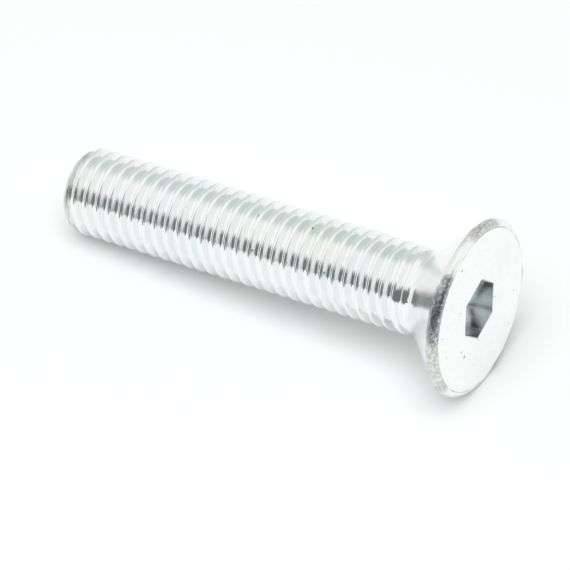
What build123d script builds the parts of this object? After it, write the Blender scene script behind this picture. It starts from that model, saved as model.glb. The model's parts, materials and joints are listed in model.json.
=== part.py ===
"""Countersunk socket screw, M10 x 1.5 x 50, threaded up to the head.

One cold-forged and thread-rolled piece of steel.  It is modelled upright, with the end of
its tip at Z = 0 and its head at the top, and is then laid down: it lies on a floor at Z = 0
with the head towards +X, on the rim of the head and on a crest of the thread by the tip, so
that its axis climbs a few degrees towards the head.  All sizes are in millimetres and
degrees.  Angles about the upright axis start at +X, where the full thread ends.
"""
from build123d import *
from math import atan, ceil, cos, degrees, radians, sin, tan
import os

# Driving sizes ---------------------------------------------------------------------------
screw_length = 50.5             # over all, from the face of the head to the end of the tip

head_diameter = 19.7            # across the rim
rim_height = 0.92               # from the face down to the start of the seat
face_edge_radius = 0.80         # rolled edge between the face and the rim
seat_angle = 90.0               # included angle of the conical seat
neck_step = 0.41                # how far the bare neck lies below the thread's crests
neck_blend_radius = 0.40        # between the neck and the seat

thread_diameter = 9.85          # over the crests
thread_pitch = 1.50
flank_angle = 60.0              # included angle of the groove
bare_neck_length = 0.45         # between the last thread and the seat
crest_fade_length = 1.10        # the crests sink to the neck over this length
run_out_turns = 1.25            # the groove climbs out to the neck over these turns

tip_chamfer_depth = 0.98        # from the crests in to the end face
tip_chamfer_angle = 45.0        # between the chamfer and the axis
tip_edge_radius = 0.30          # between the chamfer and the end face

socket_width = 6.05             # across the flats
socket_depth = 4.40             # from the face to the end of the flats
socket_floor_angle = 120.0      # included angle of the conical floor
socket_lead_in = 0.20           # chamfer round the mouth
socket_turn = 16.5              # angle of one corner about the axis

resting_turn = 92.0             # how far the screw has rolled, from the top of the shank
cutter_overhang = 0.12          # how far the thread's cutter stands out of the steel

# Sizes that follow -----------------------------------------------------------------------
rim_radius = head_diameter / 2
crest_radius = thread_diameter / 2
neck_radius = crest_radius - neck_step
tip_radius = crest_radius - tip_chamfer_depth

rim_bottom = screw_length - rim_height
seat_bottom = rim_bottom - (rim_radius - neck_radius) / tan(radians(seat_angle / 2))
thread_end = seat_bottom - bare_neck_length
chamfer_top = tip_chamfer_depth / tan(radians(tip_chamfer_angle))

# Basic profile of a metric thread: 60 degree grooves with a flat of P/4 at the root and of
# P/8 at the crest.
half_flank = radians(flank_angle / 2)
groove_depth = 5 / 16 * thread_pitch / tan(half_flank)
root_half_width = thread_pitch / 8
root_radius = crest_radius - groove_depth
mouth_half_width = root_half_width + (groove_depth + cutter_overhang) * tan(half_flank)

# The full groove is cut turn by turn, from the run-out down until it is clear of the tip.
# In the run-out it climbs along a cone.
run_out_length = run_out_turns * thread_pitch
run_out_start = thread_end - root_half_width - run_out_length
run_out_slope = atan((neck_radius - root_radius + cutter_overhang / 2) / run_out_length)
full_turns = ceil((run_out_start + mouth_half_width) / thread_pitch)

# The socket is a hexagon with a conical floor.
socket_corner_radius = socket_width / 2 / cos(radians(30))
socket_cone_depth = socket_width / 2 / tan(radians(socket_floor_angle / 2))

# At rest the lower edge of the rim touches the floor, and so does the first full crest under
# the shank or the chamfered one before it, whichever stands out more.  The outline's length
# is centred on the origin.
crest_width = thread_pitch / 8
crest_below = run_out_start + thread_pitch * ((180 - resting_turn) / 360 + 1 / 2)
crest_edge = chamfer_top + (crest_below - crest_width / 2 - chamfer_top) % thread_pitch
cut_crest_edge = min(crest_edge - thread_pitch + crest_width, chamfer_top)
cut_crest_radius = crest_radius - (chamfer_top - cut_crest_edge) * tan(radians(tip_chamfer_angle))
tilt = atan(
    min(
        (rim_radius - crest_radius) / (rim_bottom - crest_edge),
        (rim_radius - cut_crest_radius) / (rim_bottom - cut_crest_edge),
    )
)
tip_height = rim_radius * cos(tilt) - rim_bottom * sin(tilt)
face_reach = screw_length * cos(tilt) + (rim_radius - face_edge_radius) * sin(tilt)
tip_reach = tip_radius * sin(tilt)
tip_centre = ((tip_reach - face_reach) / 2, 0, tip_height)


def groove_cutter(path):
    """Sweep the thread's groove along a helix that starts over +X."""
    with BuildPart(mode=Mode.PRIVATE) as cutter:
        with BuildSketch(Plane(path @ 0, x_dir=(1, 0, 0), z_dir=(0, -1, 0))):
            with BuildLine():
                Polyline(
                    (cutter_overhang, -mouth_half_width),
                    (-groove_depth, -root_half_width),
                    (-groove_depth, root_half_width),
                    (cutter_overhang, mouth_half_width),
                    close=True,
                )
            make_face()
        sweep(path=path, is_frenet=True)
    return cutter.part


with BuildPart() as upright:
    # Forged blank, with its shank already at the crest diameter.
    with BuildSketch(Plane.XZ):
        with BuildLine():
            Polyline(
                (0, screw_length),
                (0, 0),
                (tip_radius, 0),
                (crest_radius, chamfer_top),
                (crest_radius, thread_end - crest_fade_length),
                (neck_radius, thread_end),
                (neck_radius, seat_bottom),
                (rim_radius, rim_bottom),
                (rim_radius, screw_length),
                close=True,
            )
        blank = make_face()
        corners = blank.vertices()
        fillet(corners.sort_by_distance((rim_radius, screw_length))[0], face_edge_radius)
        fillet(corners.sort_by_distance((neck_radius, seat_bottom))[0], neck_blend_radius)
        fillet(corners.sort_by_distance((tip_radius, 0))[0], tip_edge_radius)
    revolve(axis=Axis.Z)

    # Hexagon socket, punched into the face, with a conical floor and an eased mouth.
    face_plane = Plane.XY.offset(screw_length)
    with BuildSketch(face_plane):
        RegularPolygon(socket_corner_radius, 6, rotation=socket_turn)
    extrude(amount=-socket_depth, mode=Mode.SUBTRACT)
    with Locations((0, 0, screw_length - socket_depth)):
        Cone(
            bottom_radius=0,
            top_radius=socket_width / 2,
            height=socket_cone_depth,
            align=(Align.CENTER, Align.CENTER, Align.MAX),
            mode=Mode.SUBTRACT,
        )
    face = faces().filter_by(GeomType.PLANE).sort_by(Axis.Z)[-1]
    chamfer(face.inner_wires()[0].edges(), socket_lead_in)

    # Rolled thread: a right-hand groove, one turn at a time, and then its run-out.
    full_turn = groove_cutter(Helix(thread_pitch, thread_pitch, crest_radius))
    for turn in range(1, full_turns + 1):
        with Locations((0, 0, run_out_start - turn * thread_pitch)):
            add(full_turn, mode=Mode.SUBTRACT)
    run_out = groove_cutter(
        Helix(
            thread_pitch / cos(run_out_slope),
            run_out_length,
            crest_radius,
            cone_angle=degrees(run_out_slope),
        )
    )
    with Locations((0, 0, run_out_start)):
        add(run_out, mode=Mode.SUBTRACT)

# Lay the screw down on the floor.
lying = Plane(tip_centre, x_dir=(-sin(tilt), 0, cos(tilt)), z_dir=(cos(tilt), 0, sin(tilt)))
with BuildPart(lying) as screw:
    add(upright.part, rotation=(0, 0, resting_turn))

screw.part.label = "screw"
os.makedirs("parts", exist_ok=True)
export_step(screw.part, "parts/screw.step")
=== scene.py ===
"""Looks of a countersunk socket screw: the rolled thread, the forged head and their bright
zinc plating, laid on a white table under soft light.

The screw is made upright, from the end of its tip at Z = 0 to the face of its head, with the
full thread ending over +X, and is then laid where the frame holds it.
"""
import json
from math import ceil, cos, pi, radians, sin, tan

import bpy
import numpy as np
from bpy.props import FloatProperty, FloatVectorProperty, IntProperty, PointerProperty
from bpy.types import Operator, Panel, PropertyGroup
from mathutils import Matrix, Vector


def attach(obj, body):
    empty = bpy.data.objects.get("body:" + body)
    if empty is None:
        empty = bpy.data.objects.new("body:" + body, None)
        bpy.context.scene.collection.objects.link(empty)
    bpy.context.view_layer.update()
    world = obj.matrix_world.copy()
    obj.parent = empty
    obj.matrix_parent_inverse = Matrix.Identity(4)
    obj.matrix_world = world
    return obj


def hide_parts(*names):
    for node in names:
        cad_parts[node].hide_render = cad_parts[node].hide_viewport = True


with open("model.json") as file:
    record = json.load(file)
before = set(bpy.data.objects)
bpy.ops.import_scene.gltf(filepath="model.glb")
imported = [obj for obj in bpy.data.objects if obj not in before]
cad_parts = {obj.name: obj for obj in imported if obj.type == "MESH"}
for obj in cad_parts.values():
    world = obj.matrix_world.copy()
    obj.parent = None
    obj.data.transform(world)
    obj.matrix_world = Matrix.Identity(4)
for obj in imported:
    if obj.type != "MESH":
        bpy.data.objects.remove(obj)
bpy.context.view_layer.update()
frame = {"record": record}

bl_info = {
    "name": "Countersunk socket screw",
    "version": (1, 0, 0),
    "blender": (4, 5, 0),
    "location": "View3D > Sidebar > Screw",
    "description": "Makes a zinc-plated countersunk socket screw and a white table for it",
    "category": "Object",
}

MM = 0.001
INSIDE = 0.9995     # keeps the finer skin inside the facets of the solid
WHITE = (1.0, 1.0, 1.0)


# Sizes and finishes that a user would change -----------------------------------------------

def length(name, description, default):
    """A size in millimetres, kept in metres."""
    return FloatProperty(
        name=name, description=description, default=default * MM, min=0.0,
        unit="LENGTH", precision=5,
    )


def angle(name, description, default):
    """An angle in degrees, kept in radians."""
    return FloatProperty(
        name=name, description=description, default=radians(default), subtype="ANGLE",
    )


def share(name, description, default):
    """A number from 0 to 1."""
    return FloatProperty(
        name=name, description=description, default=default, min=0.0, max=1.0,
        subtype="FACTOR",
    )


def level(name, description, default):
    """Light on the table, where 1 shows a colour as it is."""
    return FloatProperty(name=name, description=description, default=default, min=0.0)


def colour(name, description, default):
    """A colour in linear light."""
    return FloatVectorProperty(
        name=name, description=description, default=default, min=0.0, max=1.0,
        size=3, subtype="COLOR",
    )


class ScrewSizes(PropertyGroup):
    """Sizes of the forged head, the rolled thread and the socket."""
    head_diameter: length("Head diameter", "Across the rim", 19.7)
    rim_height: length("Rim height", "From the face down to the seat", 0.92)
    face_edge_radius: length("Face edge radius", "Rolled edge round the face", 0.80)
    rim_edge_radius: length("Rim edge radius", "Between the rim and the seat", 0.08)
    seat_angle: angle("Seat angle", "Included angle of the conical seat", 90)
    neck_step: length("Neck step", "How far the neck lies below the crests", 0.41)
    neck_blend: length("Neck blend", "Radius between the neck and the seat", 0.40)
    thread_diameter: length("Thread diameter", "Over the crests", 9.85)
    thread_pitch: length("Thread pitch", "From crest to crest", 1.50)
    flank_angle: angle("Flank angle", "Included angle of the groove", 60)
    crest_rounding: length("Crest rounding", "How round the rolled crests are", 0.07)
    root_rounding: length("Root rounding", "How round the rolled roots are", 0.08)
    bare_neck: length("Bare neck", "Between the last thread and the seat", 0.45)
    crest_fade: length("Crest fade", "The crests sink to the neck over this length", 1.10)
    run_out_turns: FloatProperty(
        name="Run-out turns", description="Turns in which the groove climbs out",
        default=1.25, min=0.0,
    )
    tip_chamfer: length("Tip chamfer", "From the crests in to the end face", 0.98)
    tip_edge_radius: length("Tip edge radius", "Between the chamfer and the end", 0.30)
    socket_width: length("Socket width", "Across the flats", 6.05)
    socket_depth: length("Socket depth", "To the end of the flats", 4.40)
    socket_floor: angle("Socket floor", "Included angle of the conical floor", 120)
    socket_lead_in: length("Socket lead-in", "Chamfer round the mouth", 0.20)
    socket_turn: angle("Socket turn", "Angle of one corner about the axis", 16.5)
    resting_turn: angle("Resting turn", "How far the screw has rolled", 92)
    steps_round: IntProperty(
        name="Steps round", description="Mesh steps in a turn, in twelves", default=120, min=24,
    )


class PlatingLook(PropertyGroup):
    """Colour and polish of the plating."""
    zinc: colour("Zinc", "Bright plating", (0.92, 0.935, 0.935))
    green_tint: colour("Green tint", "Where the passivation is thick", (0.86, 0.915, 0.895))
    cream_tint: colour("Cream tint", "Where the passivation is thin", (0.94, 0.93, 0.89))
    lilac_tint: colour("Lilac tint", "Between the two", (0.90, 0.895, 0.93))
    face_zinc: colour("Face zinc", "Matt white plating of the face", (0.965, 0.97, 0.965))
    stain: colour("Stain", "Dull, brownish plating on the rim", (0.52, 0.495, 0.46))
    # Painted reflection: grey laid on the rim where it mirrors the dark wall behind the camera.
    reflection_grey: colour("Scuff", "Grey, scuffed plating on the rim", (0.26, 0.27, 0.28))
    soot: colour("Soot", "Dark dirt in pits and scratches", (0.10, 0.10, 0.10))
    socket_zinc: colour("Socket zinc", "Thin plating down in the socket", (0.78, 0.81, 0.81))
    thread_haze: share("Thread haze", "Roughness of the crests and roots", 0.07)
    flank_haze: share("Flank haze", "Roughness of the thread's flanks", 0.13)
    forged_haze: share("Forged haze", "Roughness of the seat", 0.18)
    neck_haze: share("Neck haze", "Roughness of the bare neck", 0.07)
    face_haze: share("Face haze", "Roughness of the face", 0.22)
    rim_haze: share("Rim haze", "Roughness of the worn rim", 0.20)


class StudioLook(PropertyGroup):
    """The white table, the light and the camera."""
    floor_white: share("Floor white", "Paint of the table", 0.95)
    floor_glow: share("Floor glow", "Lifts the table to white where it is seen", 0.05)
    floor_tint: colour("Floor tint", "Slight blue of the table's shadow", (0.985, 1.0, 1.0))
    soft_light: share("Soft light", "Level of the room's light on matt surfaces", 0.55)
    dark_wall: colour("Dark wall", "The wall behind the camera", (0.16, 0.185, 0.18))
    grey_wall: colour("Grey wall", "The wall at the back on the right", (0.68, 0.73, 0.71))
    key_level: level("Key level", "Light that the lamp adds on the table", 0.68)
    key_azimuth: angle("Key azimuth", "Round from +X", 285)
    key_elevation: angle("Key elevation", "Above the horizon", 66)
    key_spread: angle("Key spread", "How wide the lamp looks from the table", 52)
    lens: FloatProperty(name="Lens", description="Focal length in mm", default=314.9)
    camera_distance: length("Camera distance", "From what it looks at", 543.0)
    camera_azimuth: angle("Camera azimuth", "Round from the front", 30.84)
    camera_elevation: angle("Camera elevation", "Above the horizon", 41.92)


LAMP_REACH = 1.2                                # metres from the table to the lamp
TABLE_HALF = 3.0                                # metres from its middle to its edge
SENSOR_WIDTH = 36.0                             # mm
LOOKS_AT = Vector((0.90, -0.39, 2.70)) * MM     # a spot low on the shank


# Where the frame holds the screw -----------------------------------------------------------

def frame_mount(name):
    """Place and axis of one of the record's mounts."""
    for mount in frame["record"]["mounts"]:
        if mount["name"] == name:
            return Vector(mount["pos_m"]), Vector(mount["axis"]).normalized()
    raise RuntimeError(f"the frame has no mount named {name}")


def lying_screw(resting_turn):
    """Overall length of the screw, and the matrix that lays the upright screw down."""
    face, axis = frame_mount("hex_socket")
    tip, _ = frame_mount("thread")
    top = Vector((-axis.z, 0.0, axis.x))
    side = axis.cross(top)
    laid = Matrix((top, side, axis)).transposed().to_4x4()
    rolled = Matrix.Rotation(resting_turn, 4, "Z")
    return (face - tip).length, Matrix.Translation(tip) @ laid @ rolled


# The screw's mesh --------------------------------------------------------------------------

# Finishes of the skin, in the order of the piece's materials.
THREAD, FORGED, RIM, FACE, SOCKET = range(5)
UPRIGHT = "upright_mm"

# Dark pits in the face, in mm from the axis: upwards and forwards as the screw lies, and the
# pit's radius.
FACE_PITS = (
    (7.5, 3.0, 0.20), (-3.5, 4.0, 0.24), (-2.5, 4.5, 0.14), (2.5, 4.0, 0.10),
    (2.0, 8.0, 0.13), (-2.5, -7.0, 0.12), (-6.0, -5.5, 0.10), (-1.0, 7.5, 0.10),
)
# Worn, stained arcs of the rim: degrees from the top towards the front, and a radius in mm.
WORN_ARCS = ((-22, 2.6), (-8, 2.2), (84, 2.0), (98, 2.6), (115, 2.2), (-100, 1.6), (-150, 2.4))
# Arcs of the rim painted grey where it reflects the dark wall behind the camera: a painted
# reflection, broken into specks, in the same terms.
DARK_REFLECTION_ARCS = ((36, 1.3), (46, 2.0), (57, 2.4), (69, 2.2), (-165, 1.6))

# The tip is scraped: in mm from its end, where the wear starts to fade and where it is gone,
# and the roughness that it adds.
TIP_WEAR_FADES, TIP_WEAR_ENDS = 0.7, 1.2
TIP_WEAR_HAZE = 0.22

# The run-out climbs a little past the neck, so that no sliver of the groove is left.
RUN_OUT_PAST_NECK = 0.06 * MM
GROOVE_NEARBY = 0.3 * MM    # a groove that stays further outside leaves the blank as it is
NO_GROOVE = 1.0             # a radius far outside the screw, in metres

# Where the rings of the head lie, as shares of the way: from the rolled edge of the face in to
# the socket's mouth, down the eased mouth, down the flats, and in along the conical floor.
FACE_RINGS = (0.15, 0.3, 0.45, 0.6, 0.75, 0.9, 0.97, 1.0)
MOUTH_RINGS = (0.1, 0.9, 1.0)
FLAT_RINGS = (0.03, 0.2, 0.4, 0.6, 0.8, 0.97, 1.0)
FLOOR_RINGS = (0.99, 0.9, 0.6, 0.3, 0.1)
TIP_RINGS = (0.75, 0.5, 0.25)
SEAT_RINGS = 12


def soft_max(a, b, reach):
    """The larger of two, rounded where they differ by less than `reach`."""
    part = np.clip(0.5 + 0.5 * (a - b) / reach, 0, 1)
    return b + (a - b) * part + reach * part * (1 - part)


def soft_min(a, b, reach):
    """The smaller of two, rounded where they differ by less than `reach`."""
    return -soft_max(-a, -b, reach)


def arc(centre_r, centre_z, radius, start, end, steps):
    """Points of an arc in the half-section, angles from the outward direction."""
    turn = np.linspace(start, end, steps + 1)
    return [(centre_r + radius * cos(t), centre_z + radius * sin(t)) for t in turn]


class Forms:
    """Sizes that follow from the driving ones, in metres."""

    def __init__(self, sizes, screw_length):
        s = self.sizes = sizes
        self.length = screw_length
        self.rim = s.head_diameter / 2
        self.crest = s.thread_diameter / 2
        self.neck = self.crest - s.neck_step
        self.tip = self.crest - s.tip_chamfer
        self.rim_bottom = screw_length - s.rim_height
        self.seat_slope = tan(s.seat_angle / 2)
        self.seat_bottom = self.rim_bottom - (self.rim - self.neck) / self.seat_slope
        self.thread_end = self.seat_bottom - s.bare_neck
        half_flank = s.flank_angle / 2
        self.flank_rise = 1 / tan(half_flank)
        self.groove_depth = 5 / 16 * s.thread_pitch * self.flank_rise
        self.root_half_width = s.thread_pitch / 8
        self.root = self.crest - self.groove_depth
        run_out_length = s.run_out_turns * s.thread_pitch
        self.run_out_start = self.thread_end - self.root_half_width - run_out_length
        self.run_out_climb = (self.neck - self.root + RUN_OUT_PAST_NECK) / run_out_length

    def blank_radius(self, z):
        """The blank between the tip and the neck, before the groove is rolled."""
        s = self.sizes
        chamfer = self.tip + z
        fade_start = self.thread_end - s.crest_fade
        fade = self.crest - s.neck_step * (z - fade_start) / s.crest_fade
        body = soft_min(np.full_like(z, self.crest), fade, s.crest_rounding)
        body = np.where(z < fade_start - 4 * s.crest_rounding, self.crest, body)
        body = np.maximum(body, self.neck)
        return soft_min(body, chamfer, s.crest_rounding * 0.7)

    def thread_radius(self, turn, z):
        """Radius of the threaded surface at an angle (in turns from +X) and a height."""
        s = self.sizes
        place = (z - self.run_out_start) / s.thread_pitch - turn
        nearest = np.round(place)
        radius = self.blank_radius(z)
        for step in (-1, 0, 1):
            groove = nearest + step
            along = turn + groove
            off = np.abs(place - groove) * s.thread_pitch
            flank = (off - self.root_half_width) * self.flank_rise
            climb = np.maximum(along, 0) * s.thread_pitch * self.run_out_climb
            floor = self.root + climb + soft_max(flank, np.zeros_like(flank), s.root_rounding)
            floor = np.where(along > s.run_out_turns, NO_GROOVE, floor)
            radius = np.where(floor < radius + GROOVE_NEARBY,
                              soft_min(radius, floor, s.crest_rounding), radius)
        return radius


# Stations across one pitch, from the middle of a root to the next, as shares of the pitch.
HALF_PROFILE = (0.0, 0.08, 0.11, 0.14, 0.17, 0.25, 0.34, 0.41, 0.435, 0.465)
PROFILE = HALF_PROFILE + (0.5,) + tuple(1 - p for p in HALF_PROFILE[:0:-1])


def threaded_shank(forms, steps, low, high):
    """Points and faces of the thread between two heights, on a grid that follows the helix.

    Points outside are drawn in to a ring at each end, whose points come first in the list:
    `steps` of the low ring, then `steps` of the high ring.
    """
    pitch = forms.sizes.thread_pitch
    stations = len(PROFILE)
    first_turn = -ceil((forms.run_out_start - low) / pitch) - 2
    last_turn = ceil((high - forms.run_out_start) / pitch) + 1
    rows = np.array([t + p for t in range(first_turn, last_turn + 1) for p in PROFILE])
    turn = np.arange(steps) / steps
    z = forms.run_out_start + pitch * (rows[:, None] + turn[None, :])
    turns = np.broadcast_to(turn, z.shape)
    number = np.full(z.shape, -1)
    below, above = z <= low, z >= high
    inside = ~(below | above)
    columns = np.broadcast_to(np.arange(steps), z.shape)
    number[below] = columns[below]
    number[above] = steps + columns[above]
    number[inside] = 2 * steps + np.arange(inside.sum())
    ring = [np.stack([turn, np.full(steps, end)]) for end in (low, high)]
    spots = np.concatenate([*ring, np.stack([turns[inside], z[inside]])], axis=1)
    radius = forms.thread_radius(spots[0], spots[1])
    around = 2 * pi * spots[0]
    points = np.stack([radius * np.cos(around), radius * np.sin(around), spots[1]], axis=1)
    # The last column of a row joins the first column one turn further up.
    joined = np.concatenate([number[:-stations], number[stations:, :1]], axis=1)
    faces = []
    for row in range(joined.shape[0] - 1):
        here, there = joined[row], joined[row + 1]
        for i in range(steps):
            loop = (here[i], here[i + 1], there[i + 1], there[i])
            corners = list(dict.fromkeys(int(c) for c in loop))
            if len(corners) > 2 and not (max(corners) < steps or
                                         steps <= min(corners) and max(corners) < 2 * steps):
                faces.append(corners)
    return points, faces


def hexagon_radius(around, half_width, turn):
    """Distance from the axis to the socket's wall."""
    towards_flats = [np.cos(around - turn - pi / 6 - k * pi / 3) for k in range(6)]
    return half_width / np.max(towards_flats, axis=0)


class Rings:
    """Rings of points joined into a skin, one after another, with a finish for each face."""

    def __init__(self, points, faces, steps):
        self.points, self.faces, self.steps = [points], faces, steps
        self.count = len(points)
        self.around = 2 * pi * np.arange(steps) / steps
        self.finish_of = [THREAD] * len(faces)

    def add(self, radius, z, shift=0.0):
        """Adds a ring, turned a little where asked, and returns the number of its first point."""
        around = self.around + shift
        radius = np.broadcast_to(radius, around.shape)
        z = np.broadcast_to(z, around.shape)
        self.points.append(np.stack([radius * np.cos(around), radius * np.sin(around), z], axis=1))
        self.count += self.steps
        return self.count - self.steps

    def join(self, low, high, finish):
        """Faces between two rings, looking outwards where `low` is nearer the tip."""
        for i in range(self.steps):
            j = (i + 1) % self.steps
            self.faces.append([low + i, low + j, high + j, high + i])
        self.finish_of += [finish] * self.steps

    def close(self, ring, z, upwards, finish):
        """Fans a ring in to a point on the axis."""
        self.points.append(np.array([[0.0, 0.0, z]]))
        for i in range(self.steps):
            j = (i + 1) % self.steps
            self.faces.append([ring + i, ring + j, self.count] if upwards
                              else [ring + j, ring + i, self.count])
        self.count += 1
        self.finish_of += [finish] * self.steps


def screw_mesh(sizes, screw_length):
    """The whole screw, upright, as one closed skin."""
    s, f = sizes, Forms(sizes, screw_length)
    steps = s.steps_round // 12 * 12

    # Threaded shank, from the rounded edge of the tip to the bare neck.
    edge_reach = s.tip_edge_radius * tan(pi / 8)
    low = edge_reach * sin(pi / 4)
    high = f.thread_end + 0.02 * MM
    points, faces = threaded_shank(f, steps, low, high)
    skin = Rings(points, faces, steps)

    # Tip: the rounded edge down to the end face.
    centre_r, centre_z = f.tip - edge_reach, s.tip_edge_radius
    last = 0
    for r, z in arc(centre_r, centre_z, s.tip_edge_radius, -pi / 4, -pi / 2, 5)[1:]:
        ring = skin.add(r, z)
        skin.join(ring, last, THREAD)
        last = ring
    for part in TIP_RINGS:
        ring = skin.add(centre_r * part, 0.0)
        skin.join(ring, last, THREAD)
        last = ring
    skin.close(last, 0.0, upwards=False, finish=THREAD)

    # Neck, seat, rim and face.
    blend = arc(f.neck + s.neck_blend, f.seat_bottom - s.neck_blend * tan(s.seat_angle / 4),
                s.neck_blend, pi, pi - s.seat_angle / 2, 6)
    corner_reach = s.rim_edge_radius * tan(s.seat_angle / 4)
    corner = arc(f.rim - s.rim_edge_radius, f.rim_bottom + corner_reach,
                 s.rim_edge_radius, -s.seat_angle / 2, 0.0, 4)
    (r0, z0), (r1, z1) = blend[-1], corner[0]
    seat = [(r0 + (r1 - r0) * k / SEAT_RINGS, z0 + (z1 - z0) * k / SEAT_RINGS)
            for k in range(1, SEAT_RINGS)]
    edge = arc(f.rim - s.face_edge_radius, f.length - s.face_edge_radius,
               s.face_edge_radius, 0.0, pi / 2, 12)
    last = steps
    for finish, part in ((FORGED, blend + seat), (RIM, corner + edge)):
        for r, z in part:
            ring = skin.add(r, z)
            skin.join(last, ring, finish)
            last = ring

    # Face, from the round edge in to the mouth of the socket.
    # The points shift round until they meet the socket's corners.
    half_width = s.socket_width / 2
    step = 2 * pi / steps
    shift = s.socket_turn - round(s.socket_turn / step) * step
    wall = hexagon_radius(skin.around + shift, half_width, s.socket_turn)
    mouth = wall * (1 + s.socket_lead_in / half_width)
    outer = f.rim - s.face_edge_radius
    for part in FACE_RINGS:
        ring = skin.add(outer + (mouth - outer) * part, f.length, shift * part)
        skin.join(last, ring, FACE)
        last = ring

    # Socket: eased mouth, flats, and a conical floor.
    floor_z = f.length - s.socket_depth
    cone_depth = half_width / tan(s.socket_floor / 2)
    lead_z = f.length - s.socket_lead_in
    for r, z in [(mouth + (wall - mouth) * p, f.length + (lead_z - f.length) * p)
                 for p in MOUTH_RINGS]:
        ring = skin.add(r, z, shift)
        skin.join(last, ring, SOCKET)
        last = ring
    for part in FLAT_RINGS:
        ring = skin.add(wall, lead_z + (floor_z - lead_z) * part, shift)
        skin.join(last, ring, SOCKET)
        last = ring
    for part in FLOOR_RINGS:
        ring = skin.add(np.minimum(wall, half_width * part),
                        floor_z - cone_depth * (1 - part), shift)
        skin.join(last, ring, SOCKET)
        last = ring
    skin.close(last, floor_z - cone_depth, upwards=True, finish=SOCKET)

    points = np.concatenate(skin.points)
    mesh = bpy.data.meshes.new("plated_screw")
    mesh.from_pydata(points.tolist(), [], skin.faces)
    mesh.polygons.foreach_set("material_index", skin.finish_of)
    # Places in millimetres on the upright screw, which the finishes are laid out in.
    upright = mesh.attributes.new(UPRIGHT, "FLOAT_VECTOR", "POINT")
    upright.data.foreach_set("vector", (points / MM).ravel())
    mesh.shade_smooth()
    mesh.set_sharp_from_angle(angle=radians(38))
    return mesh


# Finishes ----------------------------------------------------------------------------------

class Shading:
    """Adds nodes to a tree; each method returns the new node's result."""

    def __init__(self, tree):
        self.tree = tree
        tree.nodes.clear()

    def add(self, kind, inputs=(), **settings):
        """A node with some settings, and numbers or results for some of its inputs."""
        node = self.tree.nodes.new(kind)
        for name, value in settings.items():
            setattr(node, name, value)
        for name, value in dict(inputs).items():
            self.feed(node.inputs[name], value)
        return node

    def feed(self, socket, value):
        if isinstance(value, bpy.types.NodeSocket):
            self.tree.links.new(value, socket)
        elif hasattr(socket.default_value, "__len__") and len(value) < len(socket.default_value):
            socket.default_value = (*value, 1.0)
        else:
            socket.default_value = value

    def math(self, operation, a, b):
        return self.add("ShaderNodeMath", {0: a, 1: b}, operation=operation).outputs[0]

    def mix(self, factor, first, last):
        """Goes evenly from `first` at a factor of 0 to `last` at 1."""
        return self.add("ShaderNodeMapRange", {
            "Value": factor, "To Min": first, "To Max": last}).outputs["Result"]

    def relief(self, *layers):
        """Adds up layers of relief, each a pattern and its weight."""
        whole = None
        for pattern, weight in layers:
            part = self.math("MULTIPLY", pattern, weight)
            whole = part if whole is None else self.math("ADD", whole, part)
        return whole

    def sight(self):
        """Whether a ray comes from the camera, and whether it is seen in any way at all."""
        path = self.add("ShaderNodeLightPath").outputs
        mirrored = self.math("MAXIMUM", path["Is Glossy Ray"], path["Is Transmission Ray"])
        return path["Is Camera Ray"], self.math("MAXIMUM", path["Is Camera Ray"], mirrored)

    def vector(self, operation, a, b):
        node = self.add("ShaderNodeVectorMath", {0: a, 1: b}, operation=operation)
        return node.outputs["Value" if operation in ("DOT_PRODUCT", "DISTANCE") else "Vector"]

    def fade(self, value, low, high, first=0.0, last=1.0):
        """Goes smoothly from `first` at `low` to `last` at `high`."""
        return self.add(
            "ShaderNodeMapRange",
            {"Value": value, "From Min": low, "From Max": high, "To Min": first, "To Max": last},
            interpolation_type="SMOOTHSTEP",
        ).outputs["Result"]

    def blend(self, factor, a, b):
        """Colour `a` where the factor is 0 and `b` where it is 1."""
        node = self.add("ShaderNodeMix", data_type="RGBA")
        for socket, value in ((node.inputs["Factor"], factor),
                              (node.inputs[6], a), (node.inputs[7], b)):
            self.feed(socket, value)
        return node.outputs[2]

    def place(self, stretch=(1, 1, 1)):
        """Millimetres on the upright screw, stretched along its axes."""
        spot = self.add("ShaderNodeAttribute", attribute_name=UPRIGHT).outputs["Vector"]
        return self.vector("MULTIPLY", spot, stretch)

    def height(self):
        """Millimetres up the upright screw, from the end of its tip."""
        return self.add("ShaderNodeSeparateXYZ", {0: self.place()}).outputs["Z"]

    def from_axis(self):
        """Millimetres from the screw's axis."""
        across = self.place((1, 1, 0))
        return self.add("ShaderNodeVectorMath", {0: across}, operation="LENGTH").outputs["Value"]

    def noise(self, place, per_mm, detail=2.0, roughness=0.5):
        return self.add(
            "ShaderNodeTexNoise",
            {"Vector": place, "Scale": per_mm, "Detail": detail, "Roughness": roughness},
        ).outputs["Fac"]

    def specks(self, per_mm, size, portion):
        """1 in the middle of scattered specks, for a portion of the cells, and 0 between."""
        cells = self.add("ShaderNodeTexVoronoi", {"Vector": self.place(), "Scale": per_mm})
        chosen = self.math("LESS_THAN", self.add(
            "ShaderNodeSeparateColor", {"Color": cells.outputs["Color"]}).outputs[0], portion)
        spot = self.fade(cells.outputs["Distance"], size * 0.4, size, 1.0, 0.0)
        return self.math("MULTIPLY", chosen, spot)

    def spots(self, places, screw_length, core=0.45):
        """1 in given round spots near the face: places in mm from the axis, with a radius."""
        whole = None
        for x, y, radius in places:
            away = self.vector("DISTANCE", self.place(), (x, y, screw_length / MM))
            spot = self.fade(away, radius * core, radius, 1.0, 0.0)
            whole = spot if whole is None else self.math("MAXIMUM", whole, spot)
        return whole

    def bump(self, height, depth_mm, strength=1.0):
        return self.add("ShaderNodeBump", {"Height": height, "Distance": depth_mm * MM,
                                           "Strength": strength}).outputs["Normal"]


def lying_places(places, sizes):
    """Turns places given as the screw lies, upwards and forwards, into upright ones."""
    turn = sizes.resting_turn
    return [(up * cos(turn) + forward * sin(turn), forward * cos(turn) - up * sin(turn), radius)
            for up, forward, radius in places]


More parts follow.
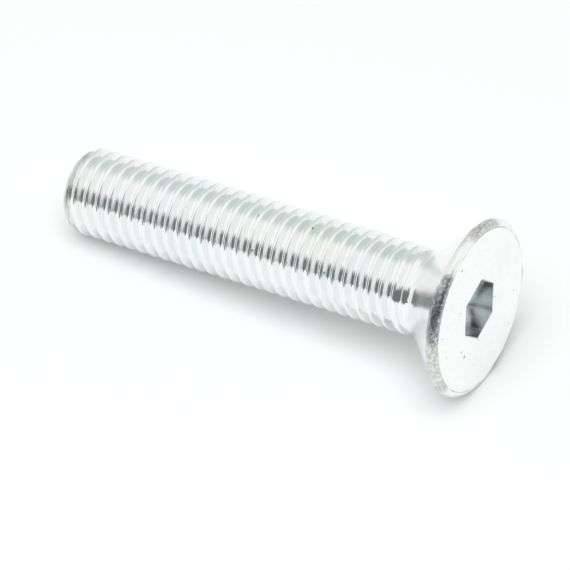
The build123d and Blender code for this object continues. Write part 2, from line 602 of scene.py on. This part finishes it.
def on_rim(arcs, sizes):
    """Places on the rim, from angles as the screw lies, from the top towards the front."""
    rim = sizes.head_diameter / 2 / MM
    return lying_places([(rim * cos(radians(a)), rim * sin(radians(a)), radius)
                         for a, radius in arcs], sizes)


def new_metal(name):
    """A material under way: its shading, and a metal whose sockets are still to be fed."""
    finish = bpy.data.materials.new(name)
    finish.use_nodes = True
    shading = Shading(finish.node_tree)
    metal = shading.add("ShaderNodeBsdfPrincipled", {"Metallic": 1.0})
    out = shading.add("ShaderNodeOutputMaterial")
    shading.feed(out.inputs["Surface"], metal.outputs["BSDF"])
    return finish, shading, metal


def passivated(shading, look, zinc, spread=0.16, depth=1.0):
    """Colour of the plating, which drifts between green, lilac and cream."""
    drift = shading.noise(shading.place(), spread, 3.0, 0.6)
    second = shading.noise(shading.place((1, 1, 0.6)), spread * 2.3, 2.0)
    green = shading.blend(shading.fade(drift, 0.50, 0.66, 0.0, depth), zinc, look.green_tint)
    cream = shading.blend(shading.fade(second, 0.53, 0.70, 0.0, depth), green, look.cream_tint)
    return shading.blend(shading.fade(second, 0.44, 0.30, 0.0, depth), cream, look.lilac_tint)


def rolled_thread(look, sizes, screw_length):
    """Bright thread with fine marks along the rolling and polished crests."""
    finish, shading, metal = new_metal("rolled_thread")
    streaks = shading.noise(shading.place((0.35, 0.35, 7.0)), 1.0, 3.0, 0.6)
    ripples = shading.noise(shading.place((0.9, 0.9, 2.2)), 0.8, 2.0)
    grain = shading.noise(shading.place(), 5.0, 3.0, 0.6)
    pits = shading.specks(0.55, 0.11, 0.16)
    colour_here = passivated(shading, look, look.zinc, depth=0.7)
    tip_wear = shading.fade(shading.height(), TIP_WEAR_FADES, TIP_WEAR_ENDS, 1.0, 0.0)
    scrapes = shading.noise(shading.place((0.5, 0.5, 5.0)), 1.6, 3.0, 0.7)
    on_tip = shading.math("MULTIPLY", tip_wear, shading.fade(scrapes, 0.40, 0.62, 0.15, 0.8))
    shading.feed(metal.inputs["Base Color"], shading.blend(
        shading.math("MULTIPLY", pits, 0.75),
        shading.blend(on_tip, colour_here, look.stain), look.soot))
    forms = Forms(sizes, screw_length)
    from_axis = shading.from_axis()
    flank = shading.math(
        "MULTIPLY",
        shading.fade(from_axis, forms.root / MM + 0.02, forms.root / MM + 0.10),
        shading.fade(from_axis, forms.crest / MM - 0.09, forms.crest / MM - 0.03, 1.0, 0.0))
    polished = shading.fade(streaks, 0.25, 0.75, look.thread_haze * 0.55, look.thread_haze * 1.6)
    satin = shading.fade(streaks, 0.25, 0.75, look.flank_haze * 0.85, look.flank_haze * 1.15)
    haze = shading.mix(flank, polished, satin)
    shading.feed(metal.inputs["Roughness"], shading.math(
        "ADD", haze, shading.math("MULTIPLY", tip_wear, TIP_WEAR_HAZE)))
    relief = shading.relief((streaks, 0.22), (ripples, 0.30), (grain, 0.05), (pits, -0.6))
    # The flanks have less relief than the crests and roots.
    shading.feed(metal.inputs["Normal"],
                 shading.bump(relief, 0.05, shading.mix(flank, 0.6, 0.12)))
    return finish


def forged_zinc(look, sizes, screw_length):
    """Satin plating over the forged seat and neck."""
    finish, shading, metal = new_metal("forged_zinc")
    grain = shading.noise(shading.place(), 3.2, 4.0, 0.6)
    waves = shading.noise(shading.place(), 0.45, 1.0)
    rings = shading.noise(shading.place((0.25, 0.25, 5.0)), 1.0, 2.0)
    shading.feed(metal.inputs["Base Color"], passivated(shading, look, look.zinc, 0.22))
    neck = sizes.thread_diameter / 2 / MM
    haze = shading.fade(shading.from_axis(), neck - 0.3, neck + 1.2,
                        look.neck_haze, look.forged_haze)
    shading.feed(metal.inputs["Roughness"], shading.math(
        "MULTIPLY", haze, shading.fade(grain, 0.3, 0.7, 0.8, 1.3)))
    relief = shading.relief((grain, 0.06), (waves, 0.5), (rings, 0.06))
    shading.feed(metal.inputs["Normal"], shading.bump(relief, 0.10, 0.8))
    return finish


def worn_rim(look, sizes, screw_length):
    """Rough rim and rolled edge, with beads of plating, brownish stains and a grey painted
    reflection in specks.
    """
    finish, shading, metal = new_metal("worn_rim")
    beads = shading.noise(shading.place((1, 1, 0.8)), 4.5, 4.0, 0.7)
    dents = shading.noise(shading.place((1, 1, 1.6)), 0.9, 2.0)
    flecks = shading.noise(shading.place((1, 1, 1.3)), 3.4, 4.0, 0.7)
    patches = shading.noise(shading.place(), 0.45, 2.0)
    worn = shading.spots(on_rim(WORN_ARCS, sizes), screw_length, 0.4)
    # Grey lines where the rolled edge meets the face, and along the narrow land of the rim.
    from_axis = shading.from_axis()
    land = sizes.head_diameter / 2 / MM
    edge = land - sizes.face_edge_radius / MM
    face_line = shading.math("MULTIPLY", shading.fade(from_axis, edge - 0.05, edge + 0.06),
                             shading.fade(from_axis, edge + 0.08, edge + 0.22, 1.0, 0.0))
    land_line = shading.fade(from_axis, land - 0.09, land - 0.02)
    lines = shading.math("MULTIPLY", shading.math(
        "MAXIMUM", face_line, shading.math("MULTIPLY", land_line, 0.35)),
        shading.fade(patches, 0.38, 0.62, 0.2, 0.85))
    stained = shading.math("MAXIMUM", lines, shading.math(
        "MULTIPLY", worn, shading.fade(flecks, 0.36, 0.62, 0.25, 1.0)))
    sooty = shading.fade(flecks, 0.64, 0.72, 0.0, 0.6)
    plated = passivated(shading, look, look.face_zinc, 0.3, 0.5)
    # Painted reflection: grey specks laid where the rim mirrors the dark wall behind the camera.
    painted_reflection = shading.math(
        "MULTIPLY", shading.spots(on_rim(DARK_REFLECTION_ARCS, sizes), screw_length, 0.5),
        shading.fade(flecks, 0.34, 0.56, 0.35, 0.95))
    stains_and_painted_reflection = shading.blend(painted_reflection, shading.blend(stained, plated, look.stain), look.reflection_grey)
    shading.feed(metal.inputs["Base Color"], shading.blend(sooty, stains_and_painted_reflection, look.soot))
    shading.feed(metal.inputs["Roughness"], shading.fade(
        beads, 0.3, 0.7, look.rim_haze * 0.6, look.rim_haze * 1.5))
    rough = shading.math("MULTIPLY", beads, shading.fade(worn, 0.0, 1.0, 0.45, 1.0))
    relief = shading.relief((rough, 1.0), (dents, 1.0))
    shading.feed(metal.inputs["Normal"], shading.bump(relief, 0.07, 0.9))
    return finish


def flat_face(look, sizes, screw_length):
    """Satin face with a fine skin, a faint mottle and a few pits."""
    finish, shading, metal = new_metal("flat_face")
    skin = shading.noise(shading.place(), 4.5, 3.0, 0.6)
    waves = shading.noise(shading.place(), 0.4, 2.0)
    mottle = shading.noise(shading.place(), 0.9, 3.0)
    pits = shading.spots(lying_places(FACE_PITS, sizes), screw_length)
    small = shading.specks(0.8, 0.10, 0.12)
    dirt = shading.math("MAXIMUM", pits, shading.math("MULTIPLY", small, 0.5))
    plated = passivated(shading, look, look.face_zinc, 0.12, 0.3)
    dull = shading.blend(shading.fade(mottle, 0.5, 0.75, 0.0, 0.06), plated, look.stain)
    shading.feed(metal.inputs["Base Color"], shading.blend(
        shading.math("MULTIPLY", dirt, 0.7), dull, look.soot))
    shading.feed(metal.inputs["Roughness"], shading.fade(
        skin, 0.3, 0.7, look.face_haze * 0.85, look.face_haze * 1.3))
    relief = shading.relief((skin, 0.05), (waves, 1.0), (dirt, -0.7))
    shading.feed(metal.inputs["Normal"], shading.bump(relief, 0.06, 0.6))
    return finish


def socket_wall(look, sizes, screw_length):
    """Grey-green plating in the socket, with the punch's marks along its flats."""
    finish, shading, metal = new_metal("socket_wall")
    marks = shading.noise(shading.place((3.0, 3.0, 0.35)), 1.2, 3.0, 0.6)
    blotches = shading.noise(shading.place(), 0.7, 3.0)
    drops = shading.specks(1.6, 0.17, 0.30)
    mouth = screw_length / MM
    bright = shading.math("MAXIMUM", shading.fade(shading.height(), mouth - 0.30, mouth - 0.12),
                          shading.math("MULTIPLY", drops, 0.8))
    dull = shading.blend(shading.fade(blotches, 0.38, 0.62, 0.0, 0.30),
                         look.socket_zinc, look.zinc)
    shading.feed(metal.inputs["Base Color"], shading.blend(bright, dull, look.zinc))
    shading.feed(metal.inputs["Roughness"], shading.fade(marks, 0.3, 0.7, 0.09, 0.20))
    relief = shading.relief((marks, 0.25), (drops, 1.0))
    shading.feed(metal.inputs["Normal"], shading.bump(relief, 0.04, 0.6))
    return finish


def white_paint(look):
    """White table that is lifted to white where it is seen, and keeps its shadows."""
    finish = bpy.data.materials.new("white_table")
    finish.use_nodes = True
    shading = Shading(finish.node_tree)
    paint = shading.add("ShaderNodeBsdfDiffuse")
    white = [look.floor_white * part for part in look.floor_tint]
    shading.feed(paint.inputs["Color"], white)
    _, seen = shading.sight()
    glow = shading.add("ShaderNodeEmission",
                       {"Strength": shading.math("MULTIPLY", seen, look.floor_glow)})
    both = shading.add("ShaderNodeAddShader", {0: paint.outputs[0], 1: glow.outputs[0]})
    shading.add("ShaderNodeOutputMaterial", {"Surface": both.outputs[0]})
    return finish


def soft_room(look):
    """White room with a dark wall behind the camera and a grey one at the back."""
    world = bpy.data.worlds.new("soft_room")
    world.use_nodes = True
    shading = Shading(world.node_tree)
    towards = shading.add("ShaderNodeTexCoord").outputs["Generated"]
    height = shading.add("ShaderNodeSeparateXYZ", {0: towards}).outputs["Z"]
    heading = shading.vector(
        "NORMALIZE", shading.vector("MULTIPLY", towards, (1, 1, 0)), (0, 0, 0))

    def wall(azimuth, half_width, softness, low, high, top_softness):
        """1 towards a wall and 0 beside it, angles in degrees."""
        middle = (cos(radians(azimuth)), sin(radians(azimuth)), 0.0)
        across = shading.fade(shading.vector("DOT_PRODUCT", heading, middle),
                              cos(radians(half_width + softness)),
                              cos(radians(half_width - softness)))
        above = shading.fade(height, sin(radians(high + top_softness)),
                             sin(radians(high - top_softness)))
        below = shading.fade(height, sin(radians(low - softness / 2)),
                             sin(radians(low + softness / 2)))
        return shading.math("MULTIPLY", shading.math("MULTIPLY", across, above), below)

    def right_of(azimuth, lean, softness):
        """1 to the right of an edge that leans to the left as it rises, angles in degrees."""
        a, b = radians(azimuth), radians(lean)
        foot = Vector((cos(a), sin(a), 0.0))
        along = Vector((sin(a) * sin(b), -cos(a) * sin(b), cos(b)))
        inside = shading.vector("DOT_PRODUCT", towards, tuple(along.cross(foot)))
        return shading.fade(inside, -sin(radians(softness)), sin(radians(softness)))

    at_the_back = wall(
        azimuth=100, half_width=52, softness=14, low=4, high=56, top_softness=10)
    grey = shading.blend(at_the_back, WHITE, look.grey_wall)
    # The crisp left edge of this wall shows in the crests and roots of the thread.
    behind = shading.math(
        "MULTIPLY",
        wall(azimuth=-62, half_width=68, softness=5, low=-10, high=38, top_softness=8),
        right_of(azimuth=-117.4, lean=16, softness=0.8))
    room = shading.blend(behind, grey, look.dark_wall)
    from_camera, seen = shading.sight()
    colour_seen = shading.blend(from_camera, room, WHITE)
    strength = shading.mix(seen, look.soft_light, 1.0)
    background = shading.add("ShaderNodeBackground",
                             {"Color": colour_seen, "Strength": strength})
    shading.add("ShaderNodeOutputWorld", {"Surface": background.outputs[0]})
    return world


def round_lamp(level_on_table, azimuth, elevation, spread):
    """A lamp well away from the table, sized by how wide it looks from there.

    It doesn't show in the metal.
    """
    reach = LAMP_REACH
    data = bpy.data.lights.new("key", "AREA")
    data.shape = "DISK"
    data.size = 2 * reach * tan(spread / 2)
    data.energy = level_on_table * (pi * reach) ** 2 / sin(elevation)
    lamp = bpy.data.objects.new("key", data)
    lamp.visible_glossy = False
    towards = Vector((cos(azimuth) * cos(elevation), sin(azimuth) * cos(elevation), sin(elevation)))
    lamp.location = towards * reach
    lamp.rotation_euler = towards.to_track_quat("Z", "Y").to_euler()
    return lamp


# Operators ---------------------------------------------------------------------------------

class SCREW_OT_make(Operator):
    """Make the plated screw and lay it where the frame holds it"""
    bl_idname = "screw.make"
    bl_label = "Make screw"

    def execute(self, context):
        sizes = context.scene.screw_sizes
        screw_length, lying = lying_screw(sizes.resting_turn)
        mesh = screw_mesh(sizes, screw_length)
        mesh.transform(Matrix.Scale(INSIDE, 4) @ lying)
        screw = bpy.data.objects.new("plated_screw", mesh)
        context.scene.collection.objects.link(screw)
        look = context.scene.plating_look
        for finish in (rolled_thread, forged_zinc, worn_rim, flat_face, socket_wall):
            mesh.materials.append(finish(look, sizes, screw_length))
        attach(screw, "root")
        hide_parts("screw")
        return {"FINISHED"}


class SCREW_OT_make_stage(Operator):
    """Make the white table, the light and the camera"""
    bl_idname = "screw.make_stage"
    bl_label = "Make stage"

    def execute(self, context):
        scene, look = context.scene, context.scene.studio_look
        scene.view_settings.view_transform = "Standard"

        mesh = bpy.data.meshes.new("white_table")
        half = TABLE_HALF
        mesh.from_pydata([(-half, -half, 0), (half, -half, 0), (half, half, 0), (-half, half, 0)],
                         [], [(0, 1, 2, 3)])
        floor = bpy.data.objects.new("white_table", mesh)
        scene.collection.objects.link(floor)
        mesh.materials.append(white_paint(look))
        scene.world = soft_room(look)

        lamp = round_lamp(look.key_level, look.key_azimuth, look.key_elevation, look.key_spread)
        scene.collection.objects.link(lamp)

        data = bpy.data.cameras.new("camera")
        data.lens, data.sensor_width = look.lens, SENSOR_WIDTH
        camera = bpy.data.objects.new("camera", data)
        scene.collection.objects.link(camera)
        turn, rise = look.camera_azimuth, look.camera_elevation
        back = Vector((sin(turn) * cos(rise), -cos(turn) * cos(rise), sin(rise)))
        camera.location = LOOKS_AT + back * look.camera_distance
        camera.rotation_euler = back.to_track_quat("Z", "Y").to_euler()
        scene.camera = camera
        return {"FINISHED"}


class SCREW_PT_panel(Panel):
    """Lists the makers of the screw and of its stage"""
    bl_label = "Countersunk socket screw"
    bl_idname = "SCREW_PT_panel"
    bl_space_type = "VIEW_3D"
    bl_region_type = "UI"
    bl_category = "Screw"

    def draw(self, context):
        for group in ("screw_sizes", "plating_look", "studio_look"):
            box = self.layout.box()
            for name in getattr(context.scene, group).__annotations__:
                box.prop(getattr(context.scene, group), name)
        self.layout.operator(SCREW_OT_make.bl_idname)
        self.layout.operator(SCREW_OT_make_stage.bl_idname)


CLASSES = (ScrewSizes, PlatingLook, StudioLook, SCREW_OT_make, SCREW_OT_make_stage, SCREW_PT_panel)


def register():
    for cls in CLASSES:
        bpy.utils.register_class(cls)
    bpy.types.Scene.screw_sizes = PointerProperty(type=ScrewSizes)
    bpy.types.Scene.plating_look = PointerProperty(type=PlatingLook)
    bpy.types.Scene.studio_look = PointerProperty(type=StudioLook)


def unregister():
    for name in ("screw_sizes", "plating_look", "studio_look"):
        delattr(bpy.types.Scene, name)
    for cls in reversed(CLASSES):
        bpy.utils.unregister_class(cls)


def main():
    register()
    bpy.ops.screw.make()
    bpy.ops.screw.make_stage()


if __name__ == "__main__":
    main()
